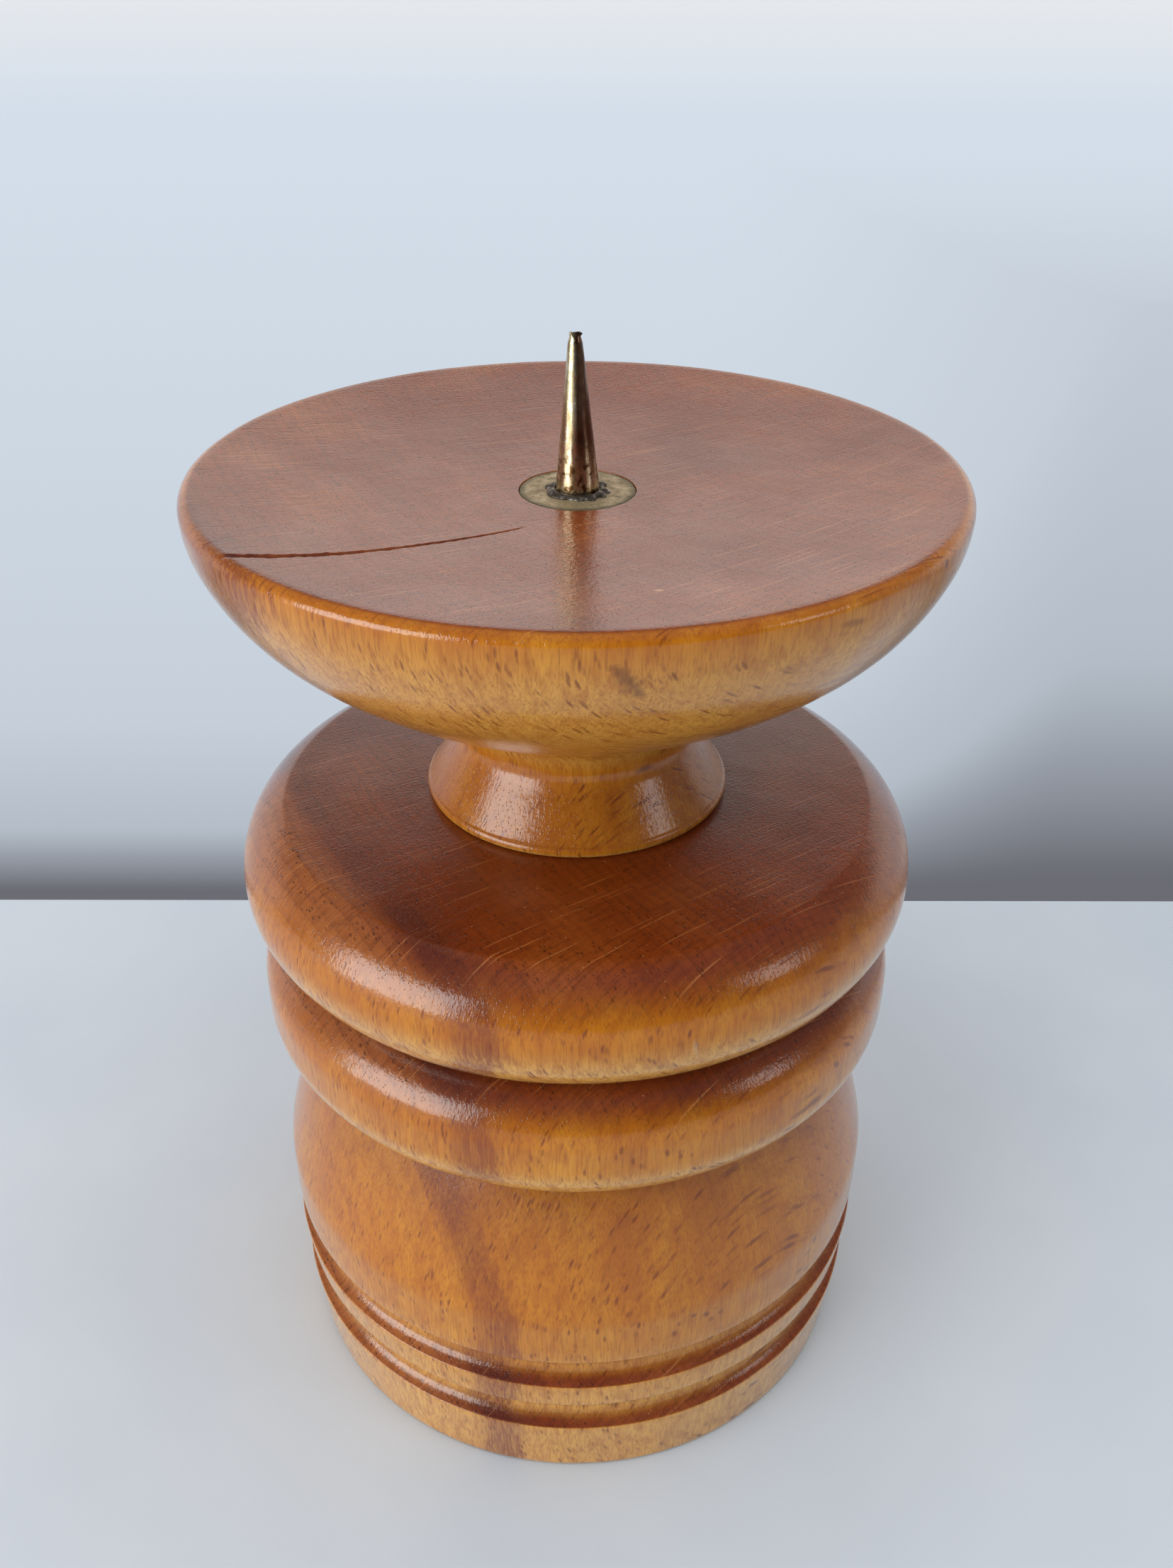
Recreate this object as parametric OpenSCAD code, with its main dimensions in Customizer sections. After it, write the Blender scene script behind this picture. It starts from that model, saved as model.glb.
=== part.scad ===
// Turned beech candlestick with a brass spike.
// A barrel base with two rings carries a dished drip pan on a short neck.
// Millimetres, +Z up, origin at the centre of the underside.

/* [Base] */
// Height of the base, up to the seat of the neck
base_h = 96.6; // [96:0.1:98]
// Radius of the underside edge
foot_r = 44.7; // [43:0.1:46]
// Radius of the barrel at its widest
barrel_r = 46.6; // [46:0.1:47]
// Height at which the barrel is widest
barrel_z = 33.8; // [33.5:0.1:34]
// Radius of the round shoulder over the barrel
shoulder_round = 12.4; // [11.8:0.1:13]
// Radius of the long curve from the shoulder in to the lower ring
taper_round = 110; // [90:1:130]
// Largest radius of the lower ring
lower_ring_r = 47.1; // [46.5:0.1:47.5]
// Section radius of the lower ring
lower_ring_round = 8.2; // [8:0.1:8.4]
// Height of the middle of the lower ring
lower_ring_z = 67; // [66.8:0.1:67.2]
// Largest radius of the upper ring
upper_ring_r = 48.3; // [47.8:0.1:48.8]
// Section radius of the upper ring
upper_ring_round = 10.1; // [9.9:0.1:10.2]
// Fall of the flat top of the upper ring, from the neck to its edge
ring_top_fall = 0.7; // [0.4:0.1:1.2]

/* [Grooves] */
// Height of the middle of the lower groove
lower_groove_z = 13.7; // [10:0.1:15]
// Height of the middle of the upper groove
upper_groove_z = 23.9; // [22:0.1:25]
// Radius of the round cutter
groove_round = 2.9; // [2.6:0.1:3.2]
// Depth of the grooves below the barrel
groove_depth = 2; // [1:0.1:2.4]

/* [Drip pan] */
// Radius of the drip pan over its rim
pan_r = 50; // [49.5:0.1:51]
// Height of the rim above the seat of the neck
pan_h = 46.4; // [46:0.1:48]
// Radius of the rounded rim
rim_round = 1.5; // [1.2:0.1:1.8]
// Depth of the hollow below the rim
hollow_depth = 3.1; // [2:0.1:3.6]
// Smallest radius of the neck
neck_r = 16.5; // [16:0.1:17]
// Radius of the bead at the foot of the neck
bead_r = 21.4; // [21:0.1:22]
// Section radius of that bead
bead_round = 0.9; // [0.7:0.1:1.1]

/* [Brass] */
// Diameter of the brass disc
disc_d = 15.2; // [12:0.1:20]
// Thickness of the brass disc
disc_t = 1; // [0.6:0.1:1.5]
// Height of the spike above the disc
spike_h = 20; // [15:0.5:30]
// Diameter of the spike at its foot
spike_foot_d = 5.6; // [4.6:0.1:6]
// Diameter of the spike below its point
spike_top_d = 1.8; // [1.2:0.1:2.5]
// Lean of the spike from upright, in degrees
spike_lean = 1; // [0:0.1:1.5]
// Diameter of the ringed shank in the wood
shank_d = 3.2; // [2.6:0.1:4]
// Length of the shank below the disc
shank_l = 20; // [16:1:20]
// Width of the solder around the foot of the spike
solder_w = 1.5; // [1:0.1:2]

/* [Joint] */
// Diameter of the hidden dowel
dowel_d = 10; // [8:0.5:12]
// Length of the hidden dowel
dowel_l = 36; // [28:1:38]
// Depth of the dowel hole in the drip pan
pan_hole = 17; // [12:0.5:17]
// Gap between the dowel and its holes, for glue
glue_gap = 0.05; // [0.02:0.01:0.1]
// Number of glue flutes along the dowel
flutes = 12; // [8:1:16]

/* [Felt] */
// Diameter of the felt disc under the base
felt_d = 76; // [60:1:80]
// Thickness of the felt disc
felt_t = 1.5; // [1:0.1:2]

/* [Hidden] */

$fn = 96;

// Chamfer around the underside, and around the dowel's ends
foot_chamfer = 0.6;
dowel_chamfer = 1;
// Angles at which the shoulder passes into the long curve, and that curve into the cleft
shoulder_end = 13;
taper_end = 24;
// Gap left between the two rings where their rounds would touch
ring_gap = 0.4;
// The three arcs down the side of the pan: radius, and the angle at which each ends
side_round = 14;
side_end = -23;
bowl_round = 29;
bowl_end = -50;
floor_round = 70;
floor_end = -60;
// The round throat where the neck meets the pan, and the neck's slant from level
throat_round = 5;
neck_slant = 60;
// Gap around the disc in its recess, and around the shank in the wood
disc_gap = 0.05;
shank_gap = 0.02;
// The disc's hole is wider than the leaning shank
disc_hole_d = shank_d + 0.4;
// Blunt point of the spike: its height, and the radius left at its top
point_h = 1.2;
point_r = 0.35;
// Upright band at the foot of the spike, and the gap between it and the solder
foot_band_h = 0.6;
solder_gap = 0.15;
solder_h = 0.9;
// Rings on the shank: spacing, depth, and the cone below them
ring_pitch = 1.5;
ring_depth = 0.25;
shank_tip = 3;
// Radius of a glue flute, and how far its centre lies outside the dowel
flute_r = 0.6;
flute_out = 0.2;
// Room left beyond each end of the dowel
dowel_room = 1;
// How far a cutter runs past the face that it cuts
past = 1;

rim_z = base_h + pan_h;
disc_r = disc_d / 2;
disc_top = rim_z - hollow_depth;
disc_bottom = disc_top - disc_t;
dowel_bottom = base_h + pan_hole - dowel_room - dowel_l;
dowel_hole_d = dowel_d + 2 * glue_gap;
base_hole_bottom = dowel_bottom - dowel_room;

// The point at angle a on a circle about c
function on_circle(c, r, a) = [c[0] + r * cos(a), c[1] + r * sin(a)];

// Points along an arc from angle a to angle b, closer together on a large arc
function arc(c, r, a, b) =
    let (arc_step = max(4, min(15, 40 / r)),
         n = max(1, ceil(abs(b - a) / arc_step)))
    [for (i = [0:n]) on_circle(c, r, a + (b - a) * i / n)];

module turned(outline) {
    rotate_extrude()
        polygon(outline);
}

// ---- Base: its outline from the axis at the bottom, up the outside ----

// Radius of the barrel at height z, a slow curve from its widest place in to the foot
function barrel_at(z) = barrel_r - (barrel_r - foot_r) * pow((barrel_z - z) / barrel_z, 2);

// A groove that the round cutter leaves at height z
function groove(z) =
    let (half = acos((groove_round - groove_depth) / groove_round))
    arc([barrel_at(z) - groove_depth + groove_round, z], groove_round, 180 + half, 180 - half);

shoulder_c = [barrel_r - shoulder_round, barrel_z];
upper_ring_c = [upper_ring_r - upper_ring_round, base_h - upper_ring_round];
// The lower ring is two rounds with an upright band between them
band_half = upper_ring_c[1] - upper_ring_round + ring_gap - lower_ring_z - lower_ring_round;
lower_ring_x = lower_ring_r - lower_ring_round;
band_bottom = [lower_ring_x, lower_ring_z - band_half];
band_top = [lower_ring_x, lower_ring_z + band_half];
// Angle on the upper ring where its flat top begins
ring_top_angle = asin((upper_ring_round - ring_top_fall) / upper_ring_round);
// The long curve over the barrel runs on smoothly from the shoulder to a cleft under the ring
taper_c = on_circle(shoulder_c, shoulder_round - taper_round, shoulder_end);

base_outline = concat(
    [[0, 0], [foot_r - foot_chamfer, 0], [foot_r, foot_chamfer]],
    groove(lower_groove_z),
    groove(upper_groove_z),
    [[barrel_at(29), 29]],
    arc(shoulder_c, shoulder_round, 0, shoulder_end),
    arc(taper_c, taper_round, shoulder_end + 2, taper_end),
    arc(band_bottom, lower_ring_round, -88, 0),
    arc(band_top, lower_ring_round, 0, 75),
    arc(upper_ring_c, upper_ring_round, -74, ring_top_angle),
    [[bead_r, base_h], [0, base_h]]);

module turned_base() {
    color("peru")
        difference() {
            turned(base_outline);
            // Dowel hole
            translate([0, 0, base_hole_bottom])
                cylinder(d = dowel_hole_d, h = base_h - base_hole_bottom + past);
            // Shallow recess for the felt
            translate([0, 0, -past])
                cylinder(d = felt_d + 4 * disc_gap, h = felt_t + past);
        }
}

// ---- Drip pan with its neck: its outline from the axis at the seat, up the outside ----

rim_c = [pan_r - rim_round, rim_z - rim_round];
// Each arc of the side runs on smoothly from the one above it
side_c = [pan_r - side_round, rim_z - rim_round];
bowl_c = on_circle(side_c, side_round - bowl_round, side_end);
floor_c = on_circle(bowl_c, bowl_round - floor_round, bowl_end);
// The underside slants on from its last arc to the throat
floor_tip = on_circle(floor_c, floor_round, floor_end);
floor_slant = 90 + floor_end;
throat_x = neck_r + throat_round;
throat_c = [throat_x, floor_tip[1] - (floor_tip[0] - throat_x) * tan(floor_slant)
                      - throat_round / cos(floor_slant)];
bead_c = [bead_r - bead_round, base_h + bead_round];

// Height of the hollow at radius r, a slow rise from the disc to the rim
function hollow_z(r) = disc_top + hollow_depth * (r * r - disc_r * disc_r)
                                  / (rim_c[0] * rim_c[0] - disc_r * disc_r);
hollow_steps = 10;

pan_outline = concat(
    [[0, base_h]],
    arc(bead_c, bead_round, -90, 60),
    arc(throat_c, throat_round, 270 - neck_slant, 90 + floor_slant),
    arc(floor_c, floor_round, floor_end, bowl_end),
    arc(bowl_c, bowl_round, bowl_end + 3, side_end),
    arc(side_c, side_round, side_end + 3, 0),
    arc(rim_c, rim_round, 15, 90),
    [for (i = [hollow_steps - 1:-1:1])
        let (r = disc_r + (rim_c[0] - disc_r) * i / hollow_steps) [r, hollow_z(r)]],
    [[disc_r, disc_top], [disc_r, disc_bottom], [0, disc_bottom]]);

module drip_pan() {
    color("burlywood")
        difference() {
            turned(pan_outline);
            // Dowel hole
            translate([0, 0, base_h - past])
                cylinder(d = dowel_hole_d, h = pan_hole + past);
            // Hole that the shank was driven into
            leaning(0)
                translate([0, 0, -disc_t - shank_l])
                    cylinder(d = shank_d + 2 * shank_gap, h = shank_l + disc_t + past);
        }
}

module joining_dowel() {
    r = dowel_d / 2;
    color("wheat")
        translate([0, 0, dowel_bottom])
            difference() {
                turned([[0, 0], [r - dowel_chamfer, 0], [r, dowel_chamfer],
                        [r, dowel_l - dowel_chamfer], [r - dowel_chamfer, dowel_l],
                        [0, dowel_l]]);
                // Glue flutes along its whole length
                for (i = [0:flutes - 1])
                    rotate([0, 0, i * 360 / flutes])
                        translate([r + flute_out, 0, -past])
                            cylinder(r = flute_r, h = dowel_l + 2 * past, $fn = 24);
            }
}

// ---- Brass fittings ----

module brass_disc() {
    color("darkkhaki")
        translate([0, 0, disc_bottom])
            difference() {
                cylinder(d = disc_d - 2 * disc_gap, h = disc_t);
                translate([0, 0, -past])
                    cylinder(d = disc_hole_d, h = disc_t + 2 * past);
            }
}

// The spike's own place: its foot on the disc, leaning towards -X
module leaning(lift) {
    translate([0, 0, disc_top + lift])
        rotate([0, -spike_lean, 0])
            children();
}

shank_r = shank_d / 2;
core_r = shank_r - ring_depth;
shank_rings = floor((shank_l - disc_t - shank_tip) / ring_pitch);

// One outline for the spike and its shank, whose sharp rings grip the wood
spike_outline = concat(
    [[0, -shank_l], [core_r, shank_tip - shank_l]],
    [for (i = [shank_rings:-1:1], corner = [[core_r, 0], [shank_r, ring_pitch - 0.5]])
        [corner[0], corner[1] - disc_t - i * ring_pitch]],
    [[core_r, -disc_t], [core_r, 0], [spike_foot_d / 2, 0], [spike_foot_d / 2, foot_band_h],
     [spike_top_d / 2, spike_h - point_h], [point_r, spike_h], [0, spike_h]]);

module candle_spike() {
    // Lifted so that its leaning foot only just touches the disc
    color("gold")
        leaning(spike_foot_d / 2 * sin(spike_lean))
            turned(spike_outline);
}

module solder_fillet() {
    inner = spike_foot_d / 2 + solder_gap;
    outer = inner + solder_w;
    color("silver")
        translate([0, 0, disc_top])
            turned(concat([[inner, 0]], arc([outer, solder_h], solder_h, 270, 180),
                          [[inner, solder_h]]));
}

// ---- Felt ----

module felt_disc() {
    color("darkgreen")
        cylinder(d = felt_d, h = felt_t);
}

turned_base();
drip_pan();
joining_dowel();
brass_disc();
candle_spike();
solder_fillet();
felt_disc();
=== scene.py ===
"""Turned beech candlestick with a brass spike: the looks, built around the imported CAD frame.

Lengths of the pieces and the room are in millimetres, as in the CAD, and meshes are scaled to metres
where they are made. The camera and the lights are placed in metres. The front faces -Y and +Z is up.
"""
import math

import bmesh
import bpy
import numpy as np
from mathutils import Matrix, Vector


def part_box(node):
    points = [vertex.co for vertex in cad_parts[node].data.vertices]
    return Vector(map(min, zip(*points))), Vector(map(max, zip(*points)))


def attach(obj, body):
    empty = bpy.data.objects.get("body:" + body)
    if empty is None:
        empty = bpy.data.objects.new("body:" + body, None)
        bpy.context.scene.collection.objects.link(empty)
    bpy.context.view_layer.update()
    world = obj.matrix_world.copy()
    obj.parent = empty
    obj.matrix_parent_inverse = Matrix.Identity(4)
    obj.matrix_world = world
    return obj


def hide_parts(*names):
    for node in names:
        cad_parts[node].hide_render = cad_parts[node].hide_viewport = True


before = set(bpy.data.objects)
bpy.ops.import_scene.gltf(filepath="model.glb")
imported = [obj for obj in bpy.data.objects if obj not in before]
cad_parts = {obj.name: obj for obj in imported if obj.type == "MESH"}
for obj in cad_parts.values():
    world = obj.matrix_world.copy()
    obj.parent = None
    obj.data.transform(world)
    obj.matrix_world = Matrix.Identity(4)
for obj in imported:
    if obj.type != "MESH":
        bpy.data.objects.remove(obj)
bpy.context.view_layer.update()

MM = 0.001


# ------------------------------------------------------------------ sizes

def node_z(node):
    """Lowest and highest point of a CAD node, in millimetres."""
    lo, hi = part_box(node)
    return lo[2] / MM, hi[2] / MM


SEAT = node_z("turned_base")[1]   # where the neck stands on the base
RIM = node_z("drip_pan")[1]       # top of the pan's rim
PAN_R = 50.0
DISC_BOTTOM, DISC_TOP = node_z("brass_disc")
DISC_R = 7.6
DOWEL_HOLE_R = 5.05
DOWEL_HOLE_FLOOR = node_z("joining_dowel")[0] - 1.0
DOWEL_HOLE_TOP = SEAT + 17.0
SHANK_HOLE_R = 1.62
SHANK_HOLE_FLOOR = DISC_BOTTOM - 20.0
FELT_R = 38.0
FELT_T = node_z("felt_disc")[1]

BARREL_R, BARREL_Z, FOOT_R = 46.6, 33.8, 44.7
SHOULDER_ROUND, TAPER_ROUND = 12.4, 110.0
SHOULDER_END, TAPER_END = 13, 24      # degrees above level at which the two curves end
GROOVE_ZS, GROOVE_ROUND, GROOVE_DEPTH = (13.7, 23.9), 2.9, 2.0
LOWER_RING_C_R, LOWER_RING_ZS, LOWER_RING_ROUND = 38.9, (65.4, 68.6), 8.2
UPPER_RING_R, UPPER_RING_ROUND = 48.3, 10.1
BEAD_R = 21.4
HOLLOW_DEPTH = RIM - DISC_TOP
RIM_ROUND = 1.5
SPIKE_LEAN = math.radians(1)

# The pith of the tree lies outside the piece: growth rings curve round it and rays run out from it.
# The grain drifts a little from true circles.
PITH = np.array([196.0, 108.0])
RING_PITCH = 1.5
GRAIN_DRIFT = 2.5
ARC_R = float(np.hypot(*PITH))
# The dark heart streak: how far from the pith it stands at the foot, and how it leans and wanders
HEART_AT = ARC_R + 33.1
HEART_LEAN = 0.03
HEART_WANDER = 2.5
# The pan is turned from another piece, in which the streak only touches the rim
PAN_HEART_SHIFT = 12.0


# ------------------------------------------------------------------ outlines

def on_circle(c, r, a):
    """The point at angle a, in degrees, on the circle of radius r round c."""
    a = math.radians(a)
    return c[0] + r * math.cos(a), c[1] + r * math.sin(a)


def arc(c, r, a, b, spacing=0.8):
    """Points along an arc from angle a to angle b, in degrees."""
    n = max(3, math.ceil(abs(math.radians(b - a)) * r / spacing))
    return [on_circle(c, r, a + (b - a) * i / n) for i in range(n + 1)]


def soften(points, cut=0.3, limit=14.0):
    """Rounds each corner sharper than the limit, as sanding and varnish do."""
    out = [points[0]]
    for before, here, after in zip(points, points[1:], points[2:]):
        p, q, s = (np.array(v, float) for v in (before, here, after))
        a, b = q - p, s - q
        la, lb = np.hypot(*a), np.hypot(*b)
        if min(la, lb) < 1e-6:
            continue
        turn = math.degrees(math.acos(np.clip(a @ b / (la * lb), -1, 1)))
        if turn < limit:
            out.append(here)
            continue
        back, on = min(cut, la * 0.45), min(cut, lb * 0.45)
        start, stop = q - a / la * back, q + b / lb * on
        for t in np.linspace(0, 1, 6):
            out.append(tuple((1 - t) ** 2 * start + 2 * t * (1 - t) * q + t * t * stop))
    out.append(points[-1])
    return out


def spaced(points, spacing):
    """Adds points so that no step is longer than the spacing."""
    out = [points[0]]
    for p, q in zip(points, points[1:]):
        n = max(1, math.ceil(math.dist(p, q) / spacing))
        out += [(p[0] + (q[0] - p[0]) * i / n, p[1] + (q[1] - p[1]) * i / n)
                for i in range(1, n + 1)]
    return out


def barrel_at(z):
    """Radius of the barrel at a height below its widest place."""
    return BARREL_R - (BARREL_R - FOOT_R) * ((BARREL_Z - z) / BARREL_Z) ** 2


def groove(z):
    """A round groove in the barrel, centred at a height."""
    half = math.degrees(math.acos((GROOVE_ROUND - GROOVE_DEPTH) / GROOVE_ROUND))
    centre = barrel_at(z) - GROOVE_DEPTH + GROOVE_ROUND, z
    return arc(centre, GROOVE_ROUND, 180 + half, 180 - half)


def base_outline():
    """The base, from the axis over the felt recess, up the outside, and down the dowel hole."""
    ring_c = UPPER_RING_R - UPPER_RING_ROUND, SEAT - UPPER_RING_ROUND
    ring_top = math.degrees(math.asin((UPPER_RING_ROUND - 0.7) / UPPER_RING_ROUND))
    recess_r = FELT_R + 0.1
    points = [(0, FELT_T), (recess_r, FELT_T), (recess_r, 0), (FOOT_R - 0.6, 0), (FOOT_R, 0.6)]
    points += groove(GROOVE_ZS[0]) + groove(GROOVE_ZS[1]) + [(barrel_at(29), 29)]
    shoulder_c = BARREL_R - SHOULDER_ROUND, BARREL_Z
    taper_c = on_circle(shoulder_c, SHOULDER_ROUND - TAPER_ROUND, SHOULDER_END)
    points += arc(shoulder_c, SHOULDER_ROUND, 0, SHOULDER_END)
    points += arc(taper_c, TAPER_ROUND, SHOULDER_END + 0.3, TAPER_END)
    low_c, high_c = [(LOWER_RING_C_R, z) for z in LOWER_RING_ZS]
    points += arc(low_c, LOWER_RING_ROUND, -88, 0) + arc(high_c, LOWER_RING_ROUND, 0, 75)
    points += arc(ring_c, UPPER_RING_ROUND, -74, ring_top)
    points += [(BEAD_R, SEAT), (DOWEL_HOLE_R, SEAT)]
    points += [(DOWEL_HOLE_R, DOWEL_HOLE_FLOOR), (0, DOWEL_HOLE_FLOOR)]
    return soften(points)


def hollow_z(r):
    """Height of the pan's shallow hollow, which rises from the disc to the rim."""
    top_r = PAN_R - RIM_ROUND
    return DISC_TOP + HOLLOW_DEPTH * (r * r - DISC_R ** 2) / (top_r ** 2 - DISC_R ** 2)


def pan_outline():
    """The pan, from the top of the dowel hole, up the neck and side, and in to the shank's hole."""
    side_r, bowl_r, floor_r, throat_r, bead_r = 14, 29, 70, 5, 0.9
    neck_slant = math.radians(30)
    rim_c = PAN_R - RIM_ROUND, RIM - RIM_ROUND
    side_c = PAN_R - side_r, RIM - RIM_ROUND
    bowl_c = on_circle(side_c, side_r - bowl_r, -23)
    floor_c = on_circle(bowl_c, bowl_r - floor_r, -50)
    tip = on_circle(floor_c, floor_r, -60)
    throat_x = 21.5
    throat_z = tip[1] - (tip[0] - throat_x) * math.tan(neck_slant) - throat_r / math.cos(neck_slant)
    points = [(0, DOWEL_HOLE_TOP), (DOWEL_HOLE_R, DOWEL_HOLE_TOP), (DOWEL_HOLE_R, SEAT)]
    points += arc((BEAD_R - bead_r, SEAT + bead_r), bead_r, -90, 60, 0.2)
    points += arc((throat_x, throat_z), throat_r, 210, 120) + arc(floor_c, floor_r, -60, -50)
    points += arc(bowl_c, bowl_r, -49, -23) + arc(side_c, side_r, -21, 0)
    points += arc(rim_c, RIM_ROUND, 12, 90, 0.3)
    points += [(r, hollow_z(r)) for r in np.linspace(rim_c[0] - 0.8, DISC_R + 0.1, 60)]
    points += [(DISC_R, DISC_TOP), (DISC_R, DISC_BOTTOM), (SHANK_HOLE_R, DISC_BOTTOM)]
    points += [(SHANK_HOLE_R, SHANK_HOLE_FLOOR), (0, SHANK_HOLE_FLOOR)]
    return soften(points, 0.25)


# ------------------------------------------------------------------ meshes

def turned(name, outline, around, spacing, shape):
    """A turned piece: the outline, which starts and ends on the axis, swept round Z.

    shape(points, normals) moves the points, all in millimetres."""
    line = np.array(spaced(outline, spacing))
    inner = line[1:-1]
    along = np.gradient(inner, axis=0)
    along /= np.maximum(np.hypot(*along.T), 1e-9)[:, None]
    angle = np.linspace(0, 2 * math.pi, around, endpoint=False)
    c, s = np.cos(angle), np.sin(angle)
    co = np.stack([inner[:, :1] * c, inner[:, :1] * s, np.repeat(inner[:, 1:], around, 1)], -1)
    no = np.stack([along[:, 1:] * c, along[:, 1:] * s, np.repeat(-along[:, :1], around, 1)], -1)
    co, no = co.reshape(-1, 3), no.reshape(-1, 3)
    co = np.vstack([co, [0, 0, line[0][1]], [0, 0, line[-1][1]]])
    no = np.vstack([no, [0, 0, -1], [0, 0, 1]])
    co = shape(co, no)
    rows, last = len(inner), len(co) - 1
    i = np.arange(rows - 1)[:, None] * around
    j = np.arange(around)[None, :]
    k = (j + 1) % around
    quads = np.stack([i + j, i + k, i + around + k, i + around + j], -1).reshape(-1, 4)
    faces = quads.tolist()
    faces += [[last - 1, (n + 1) % around, n] for n in range(around)]
    top = (rows - 1) * around
    faces += [[last, top + n, top + (n + 1) % around] for n in range(around)]
    return piece_from(name, co, faces)


def piece_from(name, co, faces):
    """A smooth object made from points in millimetres."""
    mesh = bpy.data.meshes.new(name)
    mesh.from_pydata((np.asarray(co) * MM).tolist(), [], faces)
    mesh.shade_smooth()
    mesh.validate()
    obj = bpy.data.objects.new(name, mesh)
    bpy.context.scene.collection.objects.link(obj)
    return obj


def waves(seed, count, low, high):
    """Random plane waves between two wavelengths in millimetres, for smooth unevenness."""
    rng = np.random.default_rng(seed)
    d = rng.normal(size=(count, 3))
    d /= np.linalg.norm(d, axis=1)[:, None]
    k = d * (2 * math.pi / rng.uniform(low, high, count))[:, None]
    phase = rng.uniform(0, 2 * math.pi, count)
    return lambda co: np.sin(co @ k.T + phase).sum(1) / math.sqrt(count)


def wood_shape(seed):
    """How turned beech departs from a true round: it goes slightly oval as it dries,
    the tool leaves faint waves, and the growth rings stand proud on end grain."""
    uneven = waves(seed, 24, 9, 30)
    tool = waves(seed + 1, 12, 3.2, 6)

    def shape(co, no):
        outside = np.hypot(co[:, 0], co[:, 1]) > DISC_R + 0.5
        across = np.arctan2(co[:, 1], co[:, 0]) - math.atan2(PITH[1], PITH[0])
        oval = -0.07 * (1 - np.cos(2 * across)) * np.hypot(co[:, 0], co[:, 1]) / PAN_R
        from_pith = np.hypot(co[:, 0] - PITH[0], co[:, 1] - PITH[1])
        rings = np.sin(2 * math.pi * from_pith / RING_PITCH + 0.6 * uneven(co))
        end_grain = np.clip(np.abs(no[:, 2]) * 1.6 - 0.6, 0, 1)
        lift = 0.018 * uneven(co) + 0.006 * tool(co) + 0.004 * rings * end_grain
        lift = np.where(outside, lift, 0)
        out = co + no * lift[:, None]
        out[:, :2] *= (1 + oval / np.maximum(np.hypot(co[:, 0], co[:, 1]), 1))[:, None]
        out[:, 2] = np.where(co[:, 2] <= 0.01, co[:, 2], out[:, 2])
        return out
    return shape


def near_line(co, line):
    """Distance of each point from a polyline, and how far along the line it lies, 0 to 1."""
    line = np.array(line, float)
    steps = np.linalg.norm(np.diff(line, axis=0), axis=1)
    start = np.concatenate([[0], np.cumsum(steps)])
    best, where = np.full(len(co), 1e9), np.zeros(len(co))
    for n, (p, q) in enumerate(zip(line, line[1:])):
        t = np.clip((co - p) @ (q - p) / steps[n] ** 2, 0, 1)
        d = np.linalg.norm(co - (p + t[:, None] * (q - p)), axis=1)
        closer = d < best
        best = np.where(closer, d, best)
        where = np.where(closer, (start[n] + t * steps[n]) / start[-1], where)
    return best, where


def smooth_line(points, steps=8):
    """A Catmull-Rom curve through the points."""
    p = np.array([points[0], *points, points[-1]], float)
    out = []
    for a, b, c, d in zip(p, p[1:], p[2:], p[3:]):
        for t in np.linspace(0, 1, steps, endpoint=False):
            out.append(0.5 * (2 * b + (c - a) * t + (2 * a - 5 * b + 4 * c - d) * t * t
                              + (3 * b - 3 * c + d - a) * t ** 3))
    return np.array(out + [p[-1]])


def refine(obj, line, reach, levels):
    """Splits the faces within reach of the line, so that a fine cut can be shaped there."""
    bm = bmesh.new()
    bm.from_mesh(obj.data)
    for level in range(levels):
        co = np.array([f.calc_center_median() for f in bm.faces]) / MM
        close = near_line(co, line)[0] < reach * (1 + 0.7 * (levels - 1 - level))
        edges = {e for f, hit in zip(list(bm.faces), close) if hit for e in f.edges}
        bmesh.ops.subdivide_edges(bm, edges=list(edges), cuts=1, use_grid_fill=True)
    bmesh.ops.triangulate(bm, faces=[f for f in bm.faces if len(f.verts) > 4])
    bm.to_mesh(obj.data)
    bm.free()
    obj.data.shade_smooth()


def points_of(obj):
    """The object's points in millimetres."""
    co = np.empty(len(obj.data.vertices) * 3, np.float32)
    obj.data.vertices.foreach_get("co", co)
    return co.reshape(-1, 3).astype(float) / MM


def set_points(obj, co):
    obj.data.vertices.foreach_set("co", (co * MM).astype(np.float32).ravel())
    obj.data.update()


def mark(obj, name, amount):
    """Stores a value from 0 to 1 on each point, which the piece's material reads."""
    layer = obj.data.attributes.get(name) or obj.data.attributes.new(name, "FLOAT", "POINT")
    old = np.empty(len(obj.data.vertices), np.float32)
    layer.data.foreach_get("value", old)
    layer.data.foreach_set("value", np.maximum(old, amount).astype(np.float32))


# ------------------------------------------------------------------ material nodes

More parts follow.
